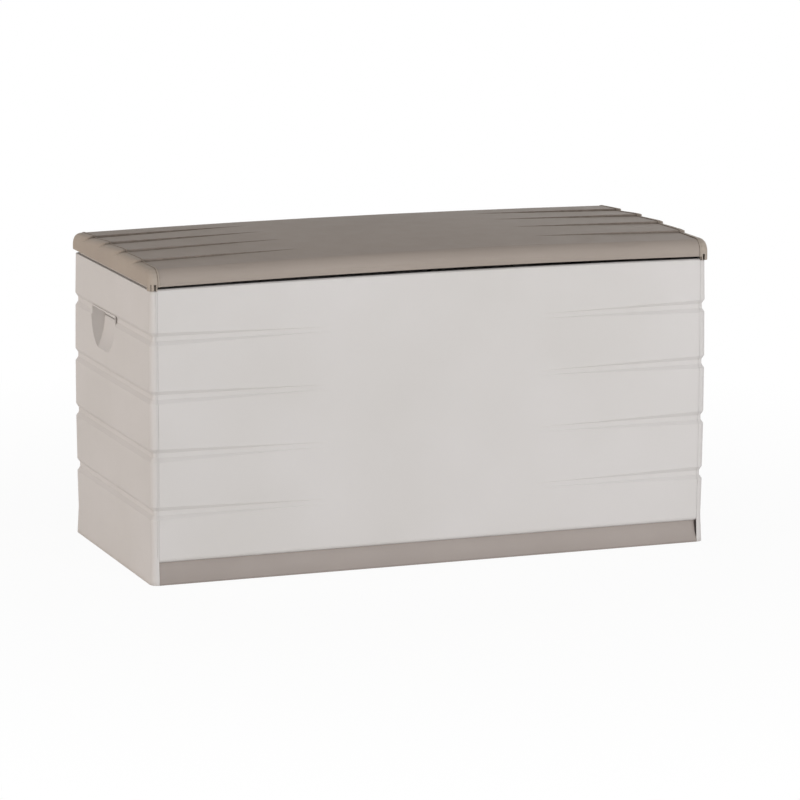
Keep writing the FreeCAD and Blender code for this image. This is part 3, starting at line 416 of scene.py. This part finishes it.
# the lamps, in metres and watts, all turned to the box's middle
lamps = {
    "frontKey": {"place": (2.3, -8.4, 2.1), "size": 4.0, "power": 492.0, "tint": (1.0, 1.0, 1.0)},
    "leftBox": {"place": (-8.0, 0.5, 1.6), "size": 4.0, "power": 330.0, "tint": (1.0, 0.911, 0.840)},
    "rearFill": {"place": (5.5, 6.0, 2.2), "size": 4.0, "power": 120.0, "tint": (1.0, 1.0, 1.0)},
}
boxMiddle = Vector((0, 0, 0.3))


def paleFloor(look):
    floorMesh = bpy.data.meshes.new("studioFloor")
    half = look["floorSize"] / 2
    corners = [(-half, -half, 0), (half, -half, 0), (half, half, 0), (-half, half, 0)]
    floorMesh.from_pydata(corners, [], [(0, 1, 2, 3)])
    floor = bpy.data.objects.new("studioFloor", floorMesh)
    bpy.context.scene.collection.objects.link(floor)
    mat = emptyMaterial("floorPaper")
    tree = mat.node_tree
    out = wire(tree, "ShaderNodeOutputMaterial", (600, 0))
    paper = wire(tree, "ShaderNodeBsdfDiffuse", (0, 100), Color=linear(look["floorColour"]))
    glow = wire(tree, "ShaderNodeEmission", (0, -100), Strength=look["white"])
    ray = wire(tree, "ShaderNodeLightPath", (-400, 300))
    place = wire(tree, "ShaderNodeTexCoord", (-900, 0))
    reach = wire(tree, "ShaderNodeVectorMath", (-700, 0), operation="LENGTH")
    feed(tree, place, reach, 0, "Object")
    clearing = rampTo(tree, (-450, 0), reach, (look["glowStart"], look["glowEnd"]),
                      (look["nearGlow"], look["farGlow"]), "Value")
    share = product(tree, (-100, 300), ray, clearing, "Is Camera Ray")
    mix = wire(tree, "ShaderNodeMixShader", (300, 0))
    feed(tree, share, mix, 0)
    feed(tree, paper, mix, 1)
    feed(tree, glow, mix, 2)
    feed(tree, mix, out, 0)
    floorMesh.materials.append(mat)


def softBox(name, look):
    lamp = bpy.data.lights.new(name, "AREA")
    lamp.size = look["size"]
    lamp.energy = look["power"]
    lamp.color = look["tint"]
    holder = bpy.data.objects.new(name, lamp)
    holder.location = look["place"]
    holder.rotation_euler = (boxMiddle - Vector(look["place"])).to_track_quat("-Z", "Y").to_euler()
    bpy.context.scene.collection.objects.link(holder)


def studioAir(look):
    world = bpy.data.worlds.new("studioAir")
    world.use_nodes = True
    bpy.context.scene.world = world
    tree = world.node_tree
    tree.nodes.clear()
    out = wire(tree, "ShaderNodeOutputWorld", (600, 0))
    seen = wire(tree, "ShaderNodeBackground", (100, 100), Color=look["whiteTint"], Strength=look["white"])
    light = wire(tree, "ShaderNodeBackground", (100, -100), Color=look["ambientTint"],
                 Strength=look["ambient"])
    ray = wire(tree, "ShaderNodeLightPath", (-500, 200))
    # camera, glossy and transmission rays see the white background, the rest get the soft light
    first = wire(tree, "ShaderNodeMath", (-300, 200), operation="MAXIMUM")
    feed(tree, ray, first, 0, "Is Camera Ray")
    feed(tree, ray, first, 1, "Is Glossy Ray")
    second = wire(tree, "ShaderNodeMath", (-100, 200), operation="MAXIMUM")
    feed(tree, first, second, 0)
    feed(tree, ray, second, 1, "Is Transmission Ray")
    mix = wire(tree, "ShaderNodeMixShader", (350, 0))
    feed(tree, second, mix, 0)
    feed(tree, light, mix, 1)
    feed(tree, seen, mix, 2)
    feed(tree, mix, out, 0)


paleFloor(studio)
studioAir(studio)
for lampName, look in lamps.items():
    softBox(lampName, look)
bpy.context.scene.view_settings.view_transform = "Standard"
print("set the floor, the air and the lamps")


# the camera at the photograph's angle, in metres, degrees and millimetres of lens and sensor
lens = {
    "place": (-3.0215, -8.1057, 1.9479),
    "turn": 20.60,
    "tilt": -10.86,
    "roll": 0.16,
    "focal": 191.42,
    "sensor": 36.0,
    "clip": 100.0,
}
cameraData = bpy.data.cameras.new("studioCamera")
cameraData.lens = lens["focal"]
cameraData.sensor_width = lens["sensor"]
cameraData.clip_end = lens["clip"]
camera = bpy.data.objects.new("studioCamera", cameraData)
turn = math.radians(lens["turn"])
tilt = math.radians(lens["tilt"])
ahead = Vector((math.sin(turn) * math.cos(tilt), math.cos(turn) * math.cos(tilt), math.sin(tilt)))
camera.matrix_world = (Matrix.Translation(lens["place"]) @ ahead.to_track_quat("-Z", "Y").to_matrix().to_4x4()
                       @ Matrix.Rotation(math.radians(lens["roll"]), 4, "Z"))
bpy.context.scene.collection.objects.link(camera)
bpy.context.scene.camera = camera
print("placed the camera")
